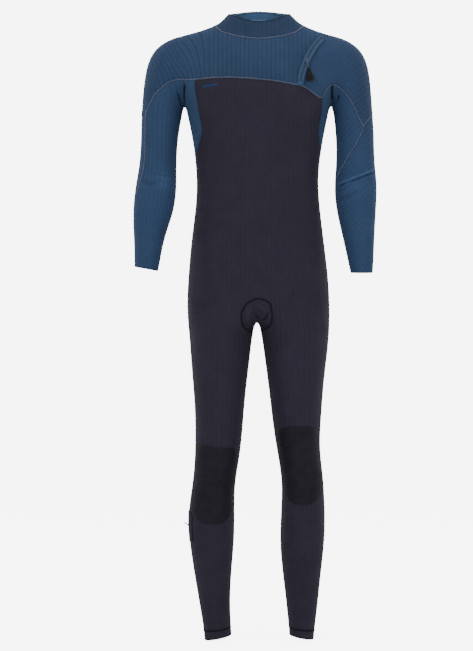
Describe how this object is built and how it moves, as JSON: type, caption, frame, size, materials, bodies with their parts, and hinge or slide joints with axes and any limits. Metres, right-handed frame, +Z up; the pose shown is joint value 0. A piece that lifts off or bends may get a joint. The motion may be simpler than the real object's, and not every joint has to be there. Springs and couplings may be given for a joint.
{
  "type": "full wetsuit",
  "caption": "Full-length neoprene wetsuit with long sleeves and legs, stand-up collar, diagonal chest zip, knee pads and gusset, shown filled out as worn.",
  "frame": {"origin": "on the level of the lowest ankle hem, under the middle of the suit's width and depth", "axes": "+Z up the suit to the collar, -Y is the chest, +X is the wearer's left"},
  "size_m": [0.5596, 0.2344, 1.4574],
  "materials": {
    "rib_knit": "ribbed jersey laminated on neoprene, matt",
    "shoulder_plush": "smooth jersey laminated on neoprene, matt",
    "side_knit": "fine jersey laminated on neoprene, matt",
    "charcoal_knit": "fine ribbed jersey laminated on neoprene, matt",
    "knee_rubber": "printed abrasion-resistant knee rubber, matt",
    "zip_tape": "woven tape",
    "zip_teeth": "moulded coil and slider",
    "pull_rubber": "moulded soft rubber",
    "webbing": "woven webbing",
    "tag": "woven label, plain"
  },
  "bodies": {
    "suit_body": {"chest_yoke": "rib_knit", "left_shoulder_panel": "shoulder_plush", "upper_back_panel": "rib_knit", "right_side_panel": "side_knit", "left_side_panel": "side_knit", "front_body_panel": "charcoal_knit", "back_body_panel": "charcoal_knit", "crotch_gusset": "charcoal_knit", "right_front_hip_panel": "charcoal_knit", "left_front_hip_panel": "charcoal_knit", "collar": "rib_knit", "collar_lining": "side_knit", "zip_tape_upper": "zip_tape", "zip_tape_lower": "zip_tape", "zip_teeth_upper": "zip_teeth", "zip_teeth_lower": "zip_teeth", "zip_lip_upper": "rib_knit", "zip_lip_lower": "rib_knit", "zip_end_stop": "zip_teeth", "zip_garage": "side_knit", "zip_backing_panel": "side_knit", "hang_loop": "webbing"},
    "right_upper_arm": {"right_outer_sleeve": "rib_knit", "right_underarm_panel": "rib_knit", "right_elbow_crook_panel": "rib_knit", "side_tag": "tag"},
    "right_forearm": {"right_forearm_panel": "rib_knit", "right_wrist_seal": "rib_knit"},
    "left_upper_arm": {"left_shoulder_cap": "shoulder_plush", "left_outer_sleeve": "rib_knit", "left_underarm_panel": "rib_knit", "left_elbow_crook_panel": "rib_knit"},
    "left_forearm": {"left_forearm_panel": "rib_knit", "left_wrist_seal": "rib_knit"},
    "right_thigh": {"right_thigh_front": "charcoal_knit", "right_thigh_back": "charcoal_knit", "right_knee_pad": "knee_rubber", "right_knee_back_panel": "charcoal_knit"},
    "right_calf": {"right_shin_panel": "charcoal_knit", "right_calf_panel": "charcoal_knit", "right_ankle_seal": "charcoal_knit", "key_pocket": "charcoal_knit", "key_pocket_cord": "zip_tape"},
    "left_thigh": {"left_thigh_front": "charcoal_knit", "left_thigh_back": "charcoal_knit", "left_knee_pad": "knee_rubber", "left_knee_back_panel": "charcoal_knit"},
    "left_calf": {"left_shin_panel": "charcoal_knit", "left_calf_panel": "charcoal_knit", "left_ankle_seal": "charcoal_knit"},
    "zip_slider": {"zip_slider": "zip_teeth"},
    "zip_puller": {"zip_puller": "pull_rubber"}
  },
  "joints": [
    {"name": "right_shoulder", "type": "hinge", "parent": "suit_body", "child": "right_upper_arm", "pos_m": [-0.1605, 0.004, 1.318], "axis": [-1, 0, 0], "range_deg": [-40, 120], "stiffness_Nm_per_rad": 6},
    {"name": "right_elbow", "type": "hinge", "parent": "right_upper_arm", "child": "right_forearm", "pos_m": [-0.1605, -0.005, 1.065], "axis": [-1, 0, 0], "range_deg": [0, 115], "stiffness_Nm_per_rad": 4, "deforming": ["right_elbow_crook_panel"]},
    {"name": "left_shoulder", "type": "hinge", "parent": "suit_body", "child": "left_upper_arm", "pos_m": [0.1765, 0.004, 1.318], "axis": [-1, 0, 0], "range_deg": [-40, 120], "stiffness_Nm_per_rad": 6},
    {"name": "left_elbow", "type": "hinge", "parent": "left_upper_arm", "child": "left_forearm", "pos_m": [0.1765, -0.005, 1.065], "axis": [-1, 0, 0], "range_deg": [0, 115], "stiffness_Nm_per_rad": 4, "deforming": ["left_elbow_crook_panel"]},
    {"name": "right_hip", "type": "hinge", "parent": "suit_body", "child": "right_thigh", "pos_m": [0.006, -0.01, 0.82], "axis": [-1, 0, 0], "range_deg": [0, 70], "stiffness_Nm_per_rad": 12, "deforming": ["right_front_hip_panel", "crotch_gusset"]},
    {"name": "left_hip", "type": "hinge", "parent": "suit_body", "child": "left_thigh", "pos_m": [0.006, -0.01, 0.82], "axis": [-1, 0, 0], "range_deg": [0, 70], "stiffness_Nm_per_rad": 12, "deforming": ["left_front_hip_panel", "crotch_gusset"]},
    {"name": "right_knee", "type": "hinge", "parent": "right_thigh", "child": "right_calf", "pos_m": [0.006, 0.005, 0.4], "axis": [1, 0, 0], "range_deg": [0, 110], "stiffness_Nm_per_rad": 8, "deforming": ["right_knee_back_panel", "right_knee_pad"]},
    {"name": "left_knee", "type": "hinge", "parent": "left_thigh", "child": "left_calf", "pos_m": [0.006, 0.005, 0.425], "axis": [1, 0, 0], "range_deg": [0, 110], "stiffness_Nm_per_rad": 8, "deforming": ["left_knee_back_panel", "left_knee_pad"]},
    {"name": "zip_travel", "type": "hinge", "parent": "suit_body", "child": "zip_slider", "pos_m": [0.2161, 0.0144, 1.2462], "axis": [-0.7158, 0.6975, 0.0314], "range_deg": [-15.2, 24]},
    {"name": "puller_swing", "type": "hinge", "parent": "zip_slider", "child": "zip_puller", "pos_m": [0.1189, -0.0978, 1.3283], "axis": [-0.9692, -0.2223, -0.1063], "range_deg": [0, 105], "stiffness_Nm_per_rad": 0.01}
  ]
}
